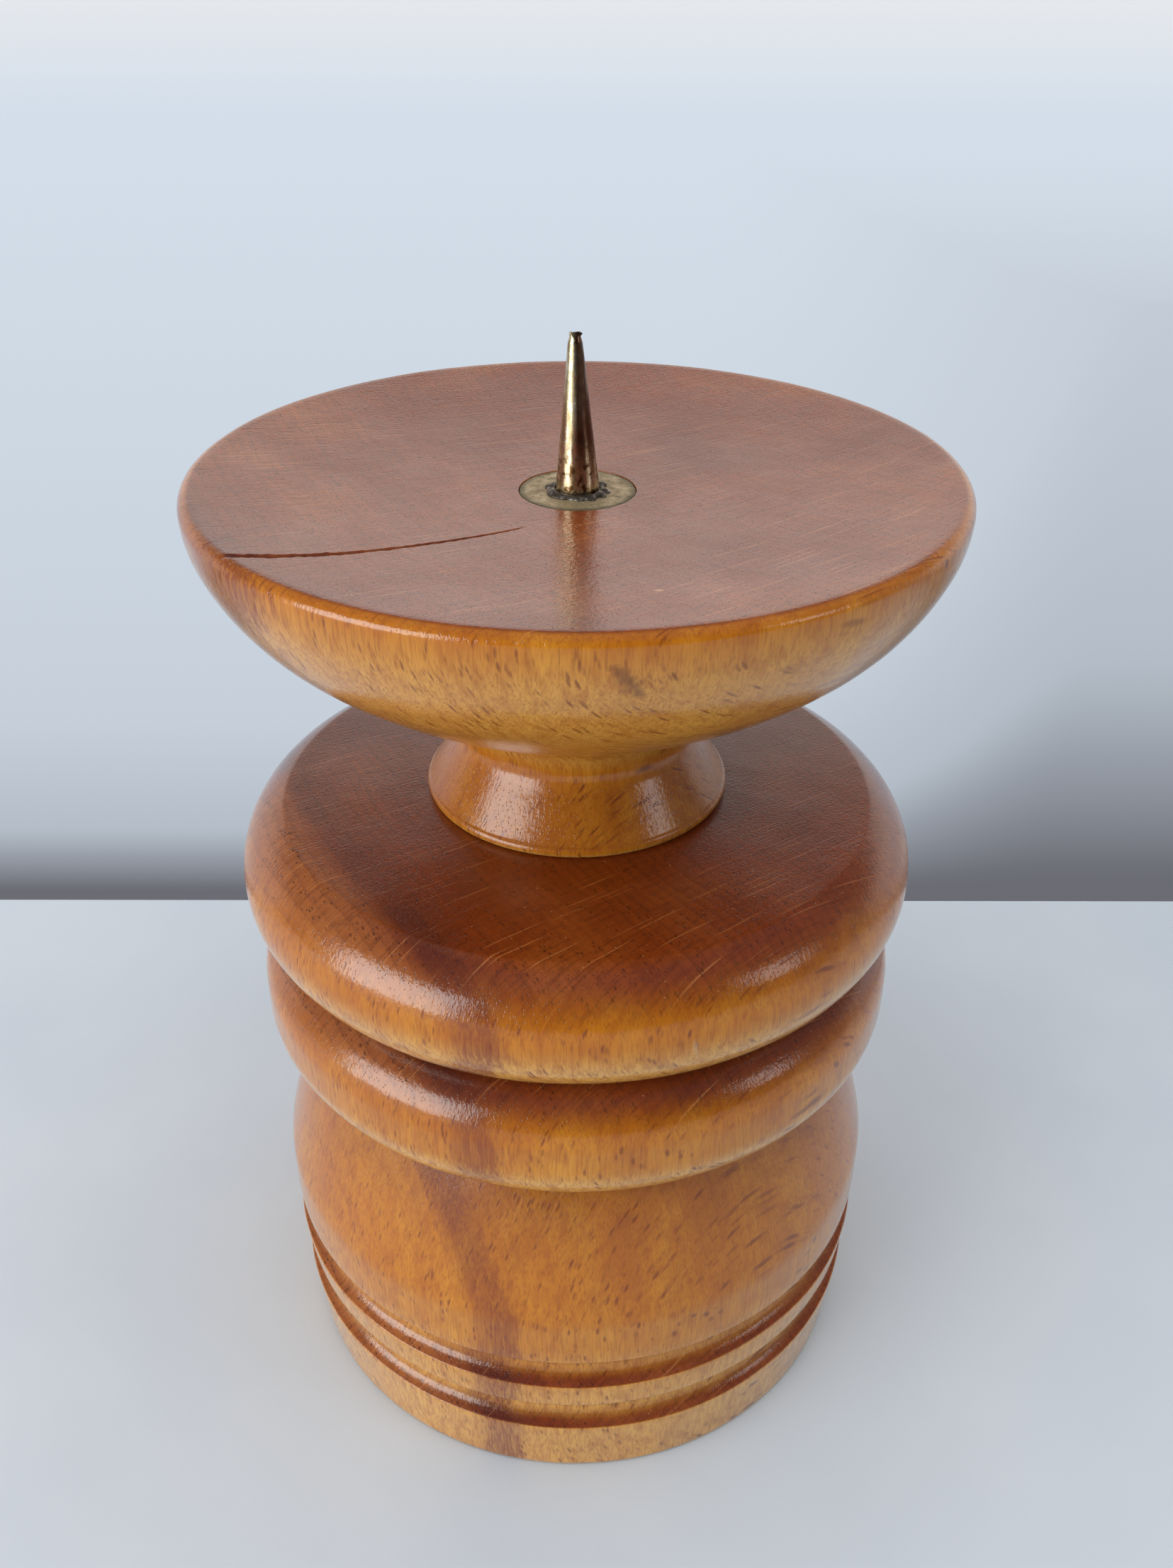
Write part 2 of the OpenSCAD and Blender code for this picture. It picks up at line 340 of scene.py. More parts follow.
class Paint:
    """Short names for making shader nodes."""

    def __init__(self, name):
        self.material = bpy.data.materials.new(name)
        self.material.use_nodes = True
        self.tree = self.material.node_tree
        self.tree.nodes.clear()

    def add(self, kind, inputs=None, **settings):
        node = self.tree.nodes.new("ShaderNode" + kind)
        for key, value in settings.items():
            setattr(node, key, value)
        for key, value in (inputs or {}).items():
            if isinstance(value, bpy.types.NodeSocket):
                self.tree.links.new(value, node.inputs[key])
            else:
                node.inputs[key].default_value = value
        return node

    def math(self, operation, a, b=0.5, c=0.5, clamp=False):
        return self.add("Math", {0: a, 1: b, 2: c}, operation=operation, use_clamp=clamp).outputs[0]

    def vector(self, operation, a, b):
        return self.add("VectorMath", {0: a, 1: b}, operation=operation).outputs[0]

    def noise(self, where, scale=1.0, detail=2.0, roughness=0.5):
        inputs = {"Vector": where, "Scale": scale, "Detail": detail, "Roughness": roughness}
        return self.add("TexNoise", inputs).outputs["Fac"]

    def cells(self, where, scale=1.0):
        return self.add("TexVoronoi", {"Vector": where, "Scale": scale}).outputs["Distance"]

    def span(self, value, low, high, to_low=0.0, to_high=1.0, smooth=True):
        kind = "SMOOTHSTEP" if smooth else "LINEAR"
        inputs = {"Value": value, "From Min": low, "From Max": high, "To Min": to_low, "To Max": to_high}
        return self.add("MapRange", inputs, interpolation_type=kind).outputs[0]

    def blend(self, amount, a, b, kind="MIX"):
        node = self.add("Mix", data_type="RGBA", blend_type=kind)
        for key, value in ((0, amount), (6, a), (7, b)):
            if isinstance(value, bpy.types.NodeSocket):
                self.tree.links.new(value, node.inputs[key])
            else:
                node.inputs[key].default_value = value
        return node.outputs[2]

    def ramp(self, value, *stops):
        node = self.add("ValToRGB", {"Fac": value})
        elements = node.color_ramp.elements
        while len(elements) < len(stops):
            elements.new(0.5)
        for element, (at, colour) in zip(elements, stops):
            element.position, element.color = at, (*colour, 1)
        return node.outputs[0]

    def bump(self, height, strength, distance, normal=None):
        inputs = {"Height": height, "Strength": strength, "Distance": distance}
        if normal is not None:
            inputs["Normal"] = normal
        return self.add("Bump", inputs).outputs[0]

    def place(self):
        """Where the point is on the object, in millimetres."""
        here = self.add("TexCoord").outputs["Object"]
        return self.vector("MULTIPLY", here, (1 / MM, 1 / MM, 1 / MM))

    def finish(self, **inputs):
        shader = self.add("BsdfPrincipled", inputs)
        out = self.add("OutputMaterial")
        self.tree.links.new(shader.outputs[0], out.inputs[0])
        return self.material


def rgb(r, g, b):
    """A linear colour from 0-255 screen values."""
    def linear(v):
        v /= 255
        return v / 12.92 if v <= 0.04045 else ((v + 0.055) / 1.055) ** 2.4
    return linear(r), linear(g), linear(b)


def rgba(r, g, b):
    return (*rgb(r, g, b), 1)


class Wood:
    """The block that beech pieces are cut from, as shader nodes: where a point lies in it and
    what grows there. Rays run out from the pith, and vessels and fibres run up the trunk."""

    def __init__(self, p):
        self.p = p
        self.here = p.place()
        self.normal = p.add("SeparateXYZ", {0: p.add("TexCoord").outputs["Normal"]}).outputs[2]
        self.find_pith()
        self.grow_rings()
        self.grow_rays()
        self.grow_fibres()

    def find_pith(self):
        """The distance from the pith, the way round it and the height, with a slow drift."""
        p = self.p
        drift = p.add("TexNoise", {"Vector": self.here, "Scale": 0.035, "Detail": 2.0}).outputs["Color"]
        drift = p.vector("SUBTRACT", drift, (0.5, 0.5, 0.5))
        drift = p.vector("MULTIPLY", drift, (GRAIN_DRIFT, GRAIN_DRIFT, GRAIN_DRIFT))
        x, y, self.height = p.add("SeparateXYZ", {0: p.vector("ADD", self.here, drift)}).outputs
        dx = p.math("SUBTRACT", x, float(PITH[0]))
        dy = p.math("SUBTRACT", y, float(PITH[1]))
        squares = p.math("ADD", p.math("MULTIPLY", dx, dx), p.math("MULTIPLY", dy, dy))
        self.from_pith = p.math("SQRT", squares)
        angle = p.math("ARCTAN2", p.math("MULTIPLY", dy, -1.0), p.math("MULTIPLY", dx, -1.0))
        self.round_pith = p.math("MULTIPLY", angle, ARC_R)

    def grain(self, across, around, along):
        """Coordinates for a feature this long out from the pith, round it and up the trunk."""
        p = self.p
        return p.add("CombineXYZ", {0: p.math("DIVIDE", self.from_pith, across),
                                    1: p.math("DIVIDE", self.round_pith, around),
                                    2: p.math("DIVIDE", self.height, along)}).outputs[0]

    def spots(self, where, core, edge):
        """Round spots in the given coordinates: 1 inside the core, 0 past the edge."""
        return self.p.span(self.p.cells(where), core, edge, 1.0, 0.0)

    def grow_rings(self):
        """Growth rings, whose early wood darkens to a thin late line, and slow changes of colour."""
        p = self.p
        shift = p.math("MULTIPLY", p.noise(self.here, 0.05, 2.0), 2.2)
        phase = p.math("ADD", p.math("DIVIDE", self.from_pith, RING_PITCH), shift)
        faint = p.span(p.noise(self.grain(9, 60, 90)), 0.3, 0.7, 0.35, 1.0)
        self.ring = p.math("MULTIPLY", p.math("POWER", p.math("FRACT", phase), 3.0), faint)
        self.band = p.noise(self.grain(1.1, 30, 300), 1.0, 3.0)
        self.mottle = p.noise(self.grain(7, 9, 38), 1.0, 3.0, 0.6)
        self.patch = p.noise(self.here, 0.045, 2.0)

    def grow_rays(self):
        """Rays are thin upright sheets: short spindles on a side, long fine lines on end grain."""
        p = self.p
        here_and_there = p.span(p.noise(self.grain(14, 1.1, 5)), 0.40, 0.62)
        self.ray = p.math("MULTIPLY", self.spots(self.grain(9.0, 0.42, 2.3), 0.14, 0.40), here_and_there)
        self.weave = p.noise(self.grain(9, 0.3, 9000), 1.0, 2.0)
        faint = p.span(p.noise(self.grain(22, 12, 40)), 0.3, 0.6, 0.35, 1.0)
        self.line = p.math("MULTIPLY", self.spots(self.grain(26.0, 0.55, 9000), 0.10, 0.22), faint)
        self.lens = p.noise(self.grain(2.5, 0.8, 3.2), 1.0, 2.0)

    def grow_fibres(self):
        """Fibres, and vessels that show as pores and, in clusters on end grain, as pits."""
        p = self.p
        self.fibre = p.noise(self.grain(0.28, 0.28, 6.0), 1.0, 3.0, 0.65)
        self.pore = self.spots(self.grain(0.34, 0.34, 7.0), 0.10, 0.28)
        clusters = p.span(p.noise(self.grain(1.6, 5, 30)), 0.40, 0.58)
        self.pit = p.math("MULTIPLY", self.spots(self.grain(0.5, 1.0, 30), 0.14, 0.34), clusters)

    def past_heart(self):
        """How far outside the dark heart streak a point lies, in millimetres."""
        p = self.p
        wander = p.noise(self.grain(30, 30, 24), 1.0, 2.0)
        wander = p.math("MULTIPLY", p.math("SUBTRACT", wander, 0.5), HEART_WANDER)
        heart = p.math("MULTIPLY_ADD", self.height, HEART_LEAN, HEART_AT)
        in_pan = p.span(self.height, SEAT - 0.1, SEAT + 0.1, 0.0, PAN_HEART_SHIFT)
        heart = p.math("ADD", heart, in_pan)
        return p.math("SUBTRACT", p.math("SUBTRACT", self.from_pith, heart), wander)

    def end_grain(self):
        """How much the surface cuts across the fibres, from 0 on a side to 1 on a flat top.

        The neck shows less of it than its slope says, and on the outer edge of the rim it is lessened as a
        painted highlight."""
        p = self.p
        blotch = p.noise(self.grain(5, 3, 9), 1.0, 3.0)
        blotch = p.math("MULTIPLY", p.math("SUBTRACT", blotch, 0.5), 0.3)
        upward = p.span(p.math("ADD", self.normal, blotch), 0.12, 0.86)
        flat = p.vector("MULTIPLY", self.here, (1, 1, 0))
        radius = p.add("VectorMath", {0: flat}, operation="LENGTH").outputs["Value"]
        # Painted highlight: the outer edge of the rim keeps a lighter colour in place of the varnish's
        # sheen there.
        rim_painted_highlight = p.span(radius, PAN_R - 1.6, PAN_R - 0.8, 1.0, 0.35)
        neck = p.span(self.height, SEAT + 0.3, SEAT + 1.2, 1.0, 0.35)
        neck = p.math("MAXIMUM", neck, p.span(self.height, RIM - 13, RIM - 11))
        upward = p.math("MULTIPLY", p.math("MULTIPLY", upward, rim_painted_highlight), neck)
        downward = p.span(self.normal, -1.0, -0.7, 0.5, 0.0)
        return p.math("MAXIMUM", upward, downward)


def side_colour(wood):
    """Honey-coloured side grain, made paler on undersides and at the foot by painted light bounced up from
    the table.
    """
    p = wood.p
    side = p.ramp(wood.mottle, (0.3, rgb(186, 108, 12)), (0.5, rgb(197, 120, 16)), (0.7, rgb(210, 138, 28)))
    # Painted light: undersides and the foot are blended paler in place of light bounced up from the table,
    # less so on the pan's side.
    underside = p.span(wood.normal, 0.12, -0.4, 0.0, 0.6)
    foot = p.span(wood.height, 31, 15, 0.0, 0.5)
    painted_bounce_light = p.math("MAXIMUM", underside, foot)
    painted_bounce_light = p.math("MULTIPLY", painted_bounce_light, p.span(wood.height, SEAT, SEAT + 2, 1.0, 0.6))
    side = p.blend(painted_bounce_light, side, rgba(244, 194, 104))
    side = p.blend(p.span(wood.lens, 0.45, 0.68, 0.0, 0.35), side, rgba(164, 84, 10))
    side = p.blend(p.span(wood.fibre, 0.42, 0.75, 0.0, 0.6), side, rgba(152, 76, 8))
    side = p.blend(p.math("MULTIPLY", wood.ring, 0.25), side, rgba(160, 78, 18))
    side = p.blend(p.math("MULTIPLY", wood.ray, 0.72), side, rgba(112, 46, 8))
    return p.blend(p.math("MULTIPLY", wood.pore, 0.25), side, rgba(100, 46, 14))


def end_colour(wood, past_heart):
    """End grain, which took up the varnish and went dark: paler outside the heart streak."""
    p = wood.p
    end = p.ramp(wood.patch, (0.3, rgb(114, 42, 8)), (0.5, rgb(132, 56, 14)), (0.72, rgb(154, 80, 30)))
    end = p.blend(p.span(wood.band, 0.3, 0.7, 0.18, 0.0), end, rgba(92, 34, 8))
    end = p.blend(p.span(past_heart, 0.5, 6.0, 0.0, 0.5), end, rgba(180, 112, 56))
    end = p.blend(p.math("MULTIPLY", wood.ring, 0.45), end, rgba(86, 32, 10))
    end = p.blend(p.span(wood.weave, 0.5, 0.72, 0.0, 0.4), end, rgba(80, 30, 10))
    end = p.blend(p.span(wood.lens, 0.5, 0.7, 0.0, 0.3), end, rgba(84, 30, 8))
    end = p.blend(p.math("MULTIPLY", wood.line, 0.42), end, rgba(206, 138, 80))
    end = p.blend(p.math("MULTIPLY", wood.pit, 0.75), end, rgba(62, 24, 10))
    return p.blend(p.math("MULTIPLY", wood.pore, 0.7), end, rgba(48, 18, 8))


def dust(wood):
    """Specks of dust that settled on the varnish."""
    p = wood.p
    speck = p.span(p.cells(wood.here, 0.9), 0.05, 0.13, 1.0, 0.0)
    return p.math("MULTIPLY", speck, p.span(p.noise(wood.here, 0.3), 0.5, 0.62))


def heart_streak(wood, colour, past_heart, end_grain):
    """Dark heartwood that follows one growth ring, and fades inwards on end grain."""
    p = wood.p
    ragged = p.math("MULTIPLY_ADD", p.math("SUBTRACT", wood.lens, 0.5), 2.4, past_heart)
    streak = p.span(p.math("ABSOLUTE", ragged), 0.9, 2.9, 1.0, 0.0)
    streak = p.math("MULTIPLY", streak, p.span(wood.fibre, 0.3, 0.62, 0.55, 1.0))
    broken = p.span(p.noise(wood.grain(40, 11, 60)), 0.34, 0.6, 0.35, 1.0)
    streak = p.math("MULTIPLY", streak, broken)
    inside = p.span(ragged, -6.0, -0.5, 0.0, 0.5)
    outer_edge = p.span(ragged, 0.0, 2.2, 1.0, 0.0)
    fading = p.math("MULTIPLY", p.math("MULTIPLY", inside, outer_edge), end_grain)
    streak = p.math("MAXIMUM", streak, fading)
    tint = p.blend(end_grain, rgba(122, 50, 24), rgba(72, 26, 20))
    return p.blend(p.math("MULTIPLY", streak, 0.7), colour, tint)


def held_marks(p, colour):
    """Marks that the mesh holds: dark for the crack and knots, pale for scratches."""
    dark = p.add("Attribute", attribute_name="dark").outputs["Fac"]
    pale = p.add("Attribute", attribute_name="pale").outputs["Fac"]
    colour = p.blend(p.math("MULTIPLY", dark, 0.75), colour, rgba(84, 34, 14))
    return p.blend(p.math("MULTIPLY", pale, 0.55), colour, rgba(224, 180, 128))


def beech(name, varnished=True):
    """Beech, either under its clear varnish or bare."""
    p = Paint(name)
    wood = Wood(p)
    past_heart = wood.past_heart()
    end_grain = wood.end_grain()
    specks = dust(wood)
    end = end_colour(wood, past_heart)
    end = p.blend(p.math("MULTIPLY", specks, 0.5), end, rgba(206, 160, 110))
    colour = p.blend(end_grain, side_colour(wood), end)
    colour = heart_streak(wood, colour, past_heart, end_grain)
    colour = held_marks(p, colour)
    relief = p.math("ADD", p.math("MULTIPLY", wood.fibre, 0.6), p.math("MULTIPLY", wood.pore, -0.5))
    relief = p.math("ADD", relief, p.math("MULTIPLY", wood.ray, -0.35))
    if not varnished:
        colour = p.blend(0.65, colour, rgba(226, 192, 146))
        bare = p.bump(relief, 0.5, 0.03 * MM)
        return p.finish(**{"Base Color": colour, "Roughness": 0.7, "Normal": bare})
    crinkle = p.noise(wood.grain(0.45, 0.4, 1.6), 1.0, 2.0)
    over = p.math("ADD", relief, p.math("MULTIPLY", crinkle, 1.3))
    rough = p.math("ADD", p.span(wood.mottle, 0.3, 0.7, 0.34, 0.46), p.math("MULTIPLY", specks, 0.4))
    return p.finish(**{"Base Color": colour, "Roughness": rough, "IOR": 1.5, "Specular IOR Level": 0.12,
                       "Normal": p.bump(relief, 0.8, 0.05 * MM),
                       "Coat Weight": 1.0, "Coat Roughness": 0.1, "Coat IOR": 1.45,
                       "Coat Normal": p.bump(over, 0.8, 0.04 * MM)})


def scratches(p, here):
    """Fine scratches in two directions."""
    one_way = p.noise(p.vector("MULTIPLY", here, (9.0, 0.5, 1.0)), 1.0, 2.0)
    other_way = p.noise(p.vector("MULTIPLY", here, (0.6, 8.0, 1.0)), 1.0, 2.0)
    return p.math("MAXIMUM", p.span(one_way, 0.66, 0.74), p.span(other_way, 0.67, 0.75))


def brass_relief(p, here, cloud, scratch, strength):
    """The bump of old brass: clouds of tarnish, fine grain and scratches."""
    fine = p.noise(here, 5.0, 3.0, 0.6)
    relief = p.math("ADD", p.math("MULTIPLY", fine, 0.4), p.math("MULTIPLY", scratch, -0.6))
    return p.bump(p.math("ADD", relief, cloud), strength, 0.03 * MM)


def tarnished_brass():
    """Brass under a tarnish that is dull where it is thick, and darkest round the disc's edge."""
    p = Paint("tarnished_brass")
    here = p.place()
    cloud = p.noise(here, 0.55, 4.0, 0.65)
    scratch = scratches(p, here)
    flat = p.vector("MULTIPLY", here, (1, 1, 0))
    radius = p.add("VectorMath", {0: flat}, operation="LENGTH").outputs["Value"]
    colour = p.ramp(cloud, (0.3, rgb(128, 112, 84)), (0.5, rgb(184, 164, 130)), (0.7, rgb(214, 198, 164)))
    colour = p.blend(p.span(radius, DISC_R - 1.2, DISC_R - 0.1, 0.0, 0.8), colour, rgba(84, 82, 60))
    colour = p.blend(p.math("MULTIPLY", scratch, 0.5), colour, rgba(196, 186, 150))
    spots = p.span(p.cells(here, 1.3), 0.12, 0.24, 0.7, 0.0)
    colour = p.blend(spots, colour, rgba(64, 60, 48))
    return p.finish(**{"Base Color": colour, "Metallic": p.span(cloud, 0.3, 0.6, 0.45, 0.8),
                       "Roughness": p.span(cloud, 0.3, 0.7, 0.6, 0.42),
                       "Normal": brass_relief(p, here, cloud, scratch, 0.7)})


def spike_brass():
    """Rubbed brass, stained brown near the foot, with a painted dark reflection of the room along one side
    higher up.
    """
    p = Paint("spike_brass")
    here = p.place()
    x, _, z = p.add("SeparateXYZ", {0: here}).outputs
    cloud = p.noise(here, 0.55, 4.0, 0.65)
    long = p.noise(p.vector("MULTIPLY", here, (2.4, 2.4, 0.3)), 1.0, 3.0)
    colour = p.ramp(long, (0.3, rgb(172, 146, 106)), (0.5, rgb(214, 194, 156)), (0.7, rgb(242, 230, 202)))
    low = p.span(z, DISC_TOP + 0.5, DISC_TOP + 9, 1.0, 0.0)
    stained = p.math("MULTIPLY", p.span(p.noise(here, 0.9, 3.0), 0.46, 0.62), p.math("ADD", low, 0.25))
    colour = p.blend(stained, colour, rgba(98, 66, 34))
    # Painted reflection: one side higher up is darkened, standing for the dark room mirrored in the brass.
    aside = p.math("MULTIPLY_ADD", p.math("SUBTRACT", z, DISC_TOP), math.tan(SPIKE_LEAN), x)
    high = p.math("SUBTRACT", 1.1, low, clamp=True)
    painted_room_reflection = p.math("MULTIPLY", p.span(aside, -0.35, 0.2, 0.0, 0.9), high)
    colour = p.blend(painted_room_reflection, colour, rgba(84, 44, 30))
    rough = p.math("ADD", p.span(long, 0.3, 0.7, 0.28, 0.18), p.math("MULTIPLY", stained, 0.15))
    return p.finish(**{"Base Color": colour, "Metallic": 1.0, "Roughness": rough,
                       "Normal": brass_relief(p, here, cloud, scratches(p, here), 0.3)})


def solder_material():
    """Dull solder, brown with old flux, with bright places."""
    p = Paint("dull_solder")
    here = p.place()
    cloud = p.noise(here, 1.1, 4.0, 0.65)
    colour = p.ramp(cloud, (0.3, rgb(50, 42, 36)), (0.52, rgb(104, 94, 84)), (0.68, rgb(206, 200, 194)))
    return p.finish(**{"Base Color": colour, "Metallic": 0.8,
                       "Roughness": p.span(cloud, 0.3, 0.7, 0.55, 0.3),
                       "Normal": p.bump(p.noise(here, 3.0, 3.0), 0.8, 0.06 * MM)})


def felt_material():
    """Green felt, a mat of short hairs."""
    p = Paint("green_felt")
    here = p.place()
    fuzz = p.noise(here, 2.6, 5.0, 0.75)
    hair = p.noise(p.vector("MULTIPLY", here, (1.2, 5.0, 2.0)), 1.0, 4.0)
    colour = p.ramp(p.math("MULTIPLY", p.math("ADD", fuzz, hair), 0.5),
                    (0.35, rgb(24, 52, 34)), (0.5, rgb(38, 78, 50)), (0.65, rgb(62, 106, 72)))
    return p.finish(**{"Base Color": colour, "Roughness": 0.95, "Sheen Weight": 0.4, "Sheen Roughness": 0.5,
                       "Normal": p.bump(p.math("ADD", fuzz, hair), 0.9, 0.2 * MM)})


# ------------------------------------------------------------------ pieces

def finish_piece(obj, node, material):
    """Gives the piece its material, and lets it stand for its CAD node."""
    obj.data.materials.clear()
    obj.data.materials.append(material)
    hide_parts(node)
    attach(obj, "root")


def on_hollow(x, y):
    """A point on the pan's hollow."""
    return x, y, hollow_z(math.hypot(x, y))


def cut(obj, line, width, depth):
    """A fine cut along a line on the surface: width and depth are given at its two ends."""
    refine(obj, line, max(width) * 1.4, 3)
    co = points_of(obj)
    no = np.empty(len(co) * 3, np.float32)
    obj.data.vertices.foreach_get("normal", no)
    no = no.reshape(-1, 3)
    ragged = waves(77, 20, 0.5, 2.5)(co)
    away, along = near_line(co, line)
    half = (width[0] + (width[1] - width[0]) * along) / 2 * (1 + 0.25 * ragged)
    ends = np.clip(np.minimum(along, 1 - along) * 14, 0.15, 1)
    inside = np.clip(1 - away / np.maximum(half, 1e-3), 0, 1) ** 0.8
    deep = depth[0] + (depth[1] - depth[0]) * along
    set_points(obj, co - no * (inside * deep * ends)[:, None])
    mark(obj, "dark", np.clip(1.25 - away / np.maximum(half, 1e-3), 0, 1) * np.clip(ends + 0.2, 0, 1))


def stain(obj, line, size, tone="dark", strength=1.0, levels=1):
    """A soft mark along a line, of the given width at its middle."""
    refine(obj, line, size, levels)
    co = points_of(obj)
    away, along = near_line(co, line)
    half = size / 2 * (1 + 0.4 * waves(41, 16, 0.8, 3.0)(co)) * (1 - 0.6 * np.abs(2 * along - 1))
    mark(obj, tone, strength * np.clip(1.6 - 1.6 * away / np.maximum(half, 0.05), 0, 1))


def make_base(material):
    base = turned("turned_base_wood", base_outline(), 250, 1.2, wood_shape(11))
    dark_dot = np.array([(16.5, -43.5, 33.7), (16.9, -43.4, 32.9)])
    pale_scratch = np.array([(14.3, -46.1, 87.7), (14.8, -45.5, 83.4)])
    stain(base, dark_dot, 1.3, strength=0.9, levels=2)
    stain(base, pale_scratch, 0.7, "pale", 0.8, 2)
    finish_piece(base, "turned_base", material)


def make_pan(material):
    pan = turned("drip_pan_wood", pan_outline(), 280, 0.9, wood_shape(29))
    crack = smooth_line([on_hollow(-39.4, -29.8), on_hollow(-33, -28.2), on_hollow(-26.5, -25.6),
                         on_hollow(-17, -20.5), on_hollow(-10, -16.2), on_hollow(-6.2, -13.6)])
    rim_speck = np.array([on_hollow(-40.6, -24.2), on_hollow(-39.0, -23.8)])
    side_knot = np.array([(3.7, -49.7, 139.4), (5.2, -49.1, 137.6), (6.6, -48.2, 135.6)])
    pale_speck = np.array([on_hollow(8.4, -35.5), on_hollow(9.1, -35.4)])
    cut(pan, crack, (1.1, 0.4), (0.6, 0.2))
    stain(pan, rim_speck, 2.2, levels=2)
    stain(pan, side_knot, 3.0, strength=0.8)
    stain(pan, pale_speck, 0.8, "pale", 1.0, 2)
    finish_piece(pan, "drip_pan", material)


def make_disc():
    """A flat disc with a hole for the shank, a little dented on top."""
    r = DISC_R - 0.05
    hole = 1.8
    dents = waves(5, 30, 1.0, 4.0)

    def shape(co, no):
        top = (co[:, 2] > DISC_TOP - 0.2) & (np.hypot(co[:, 0], co[:, 1]) > hole + 0.2)
        out = co.copy()
        out[:, 2] += np.where(top, 0.02 * dents(co) - 0.02, 0)
        return out
    outline = [(0, DISC_BOTTOM), (r, DISC_BOTTOM), (r, DISC_TOP - 0.15), (r - 0.15, DISC_TOP),
               (hole, DISC_TOP), (hole, DISC_BOTTOM + 0.05), (0, DISC_BOTTOM + 0.05)]
    disc = turned("brass_disc_tarnished", soften(outline, 0.1), 160, 0.25, shape)
    finish_piece(disc, "brass_disc", tarnished_brass())


def make_spike():
    """A hammered cone with a burred tip, on a ringed shank that is hidden in the wood."""
    foot_r, top_r, tip_r, height, point = 2.8, 0.9, 0.35, 20.0, 1.2
    shank_r, core_r, shank_l, tip_l, pitch = 1.6, 1.35, 20.0, 3.0, 1.5
    rings = int((shank_l - 1 - tip_l) / pitch)
    outline = [(0, -shank_l), (core_r, tip_l - shank_l)]
    for i in range(rings, 0, -1):
        outline += [(core_r, -1 - i * pitch), (shank_r, -i * pitch)]
    outline += [(core_r, -1), (core_r, 0), (foot_r, 0), (foot_r - 0.02, 0.6)]
    outline += [(top_r, height - point), (top_r - 0.28, height - 0.35)]
    outline += [(tip_r + 0.22, height - 0.16), (tip_r + 0.1, height), (0, height)]
    hammered = waves(3, 30, 1.2, 5.0)
    ragged = waves(8, 12, 0.6, 1.4)

    def shape(co, no):
        out = co.copy()
        above = co[:, 2] > 0.3
        out += no * np.where(above & (co[:, 2] < height - point), 0.012 * hammered(co), 0)[:, None]
        burr = np.clip((co[:, 2] - (height - 0.5)) / 0.4, 0, 1)
        out[:, 0] += burr * (0.18 * ragged(co) + 0.55 * out[:, 0])
        out[:, 1] *= 1 - 0.3 * burr
        out[:, 2] -= burr * 0.08 * (1 + ragged(co * 1.7))
        return out
    spike = turned("candle_spike_brass", soften(outline, 0.12), 96, 0.22, shape)
    lift = foot_r * math.sin(SPIKE_LEAN)
    stand = Matrix.Translation((0, 0, (DISC_TOP + lift) * MM))
    spike.data.transform(stand @ Matrix.Rotation(-SPIKE_LEAN, 4, "Y"))
    finish_piece(spike, "candle_spike", spike_brass())


def make_solder():
    """A lumpy ring, thickest at the front left."""
    around, across = 120, 18
    inner, middle, width, tall = 2.9, 3.6, 1.1, 0.42
    lumps = waves(21, 20, 1.0, 3.5)
    thickest = math.radians(225)
    co = []
    for a in np.linspace(0, 2 * math.pi, around, endpoint=False):
        here = np.array([[middle * math.cos(a), middle * math.sin(a), 0]])
        bulk = 1 + 0.35 * lumps(here)[0] + 0.5 * math.exp(-((a - thickest) / 0.6) ** 2)
        for s in np.linspace(0, math.pi, across):
            out = (1 - math.cos(s)) / 2
            r = inner + width * bulk * out
            z = DISC_TOP + tall * max(bulk, 0.6) * math.sin(s) ** 0.8 * (1 - 0.45 * out)
            co.append((r * math.cos(a), r * math.sin(a), z))
    faces = []
    for i in range(around):
        here, following = i * across, (i + 1) % around * across
        faces += [[here + k, following + k, following + k + 1, here + k + 1] for k in range(across - 1)]
        faces.append([here + across - 1, following + across - 1, following, here])
    ring = piece_from("solder_residue", co, faces)
    finish_piece(ring, "solder_fillet", solder_material())


def make_felt():
    """A disc of felt with a slightly ragged edge and an uneven face."""
    ragged = waves(14, 40, 1.0, 6.0)

    def shape(co, no):
        out = co.copy()
        r = np.hypot(co[:, 0], co[:, 1])
        edge = r > FELT_R - 0.3
        out[:, :2] *= (1 - np.where(edge, 0.002 * (1 + ragged(co)), 0))[:, None]
        out[:, 2] += np.where(co[:, 2] < 0.1, 0.04 * (1 + np.clip(ragged(co * 0.7), -1, 1)), 0)
        return out
    outline = [(0, 0), (FELT_R, 0), (FELT_R, FELT_T), (0, FELT_T)]
    felt = turned("felt_disc_cloth", soften(outline, 0.25), 240, 0.8, shape)
    finish_piece(felt, "felt_disc", felt_material())


def give_dowel_wood():
    """The dowel keeps its CAD shape and gets bare wood."""
    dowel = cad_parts["joining_dowel"]
    dowel.data.materials.clear()
    dowel.data.materials.append(beech("bare_beech", varnished=False))


# ------------------------------------------------------------------ stage, light and camera

MIDDLE = (0, 0, 0.09)


def camera():
    """Close, above the front, looking down at the tops of the pan and the ring."""
    pitch, yaw, roll = math.radians(31.65), math.radians(-0.44), math.radians(0.34)
    data = bpy.data.cameras.new("camera")
    data.sensor_width, data.lens, data.clip_start = 36, 33.34, 0.01
    cam = bpy.data.objects.new("camera", data)
    turn = Matrix.Rotation(yaw, 4, "Z") @ Matrix.Rotation(math.radians(90) - pitch, 4, "X")
    stand = Matrix.Translation((0, -0.17926, 0.20579))
    cam.matrix_world = stand @ turn @ Matrix.Rotation(roll, 4, "Z")
    bpy.context.scene.collection.objects.link(cam)
    bpy.context.scene.camera = cam


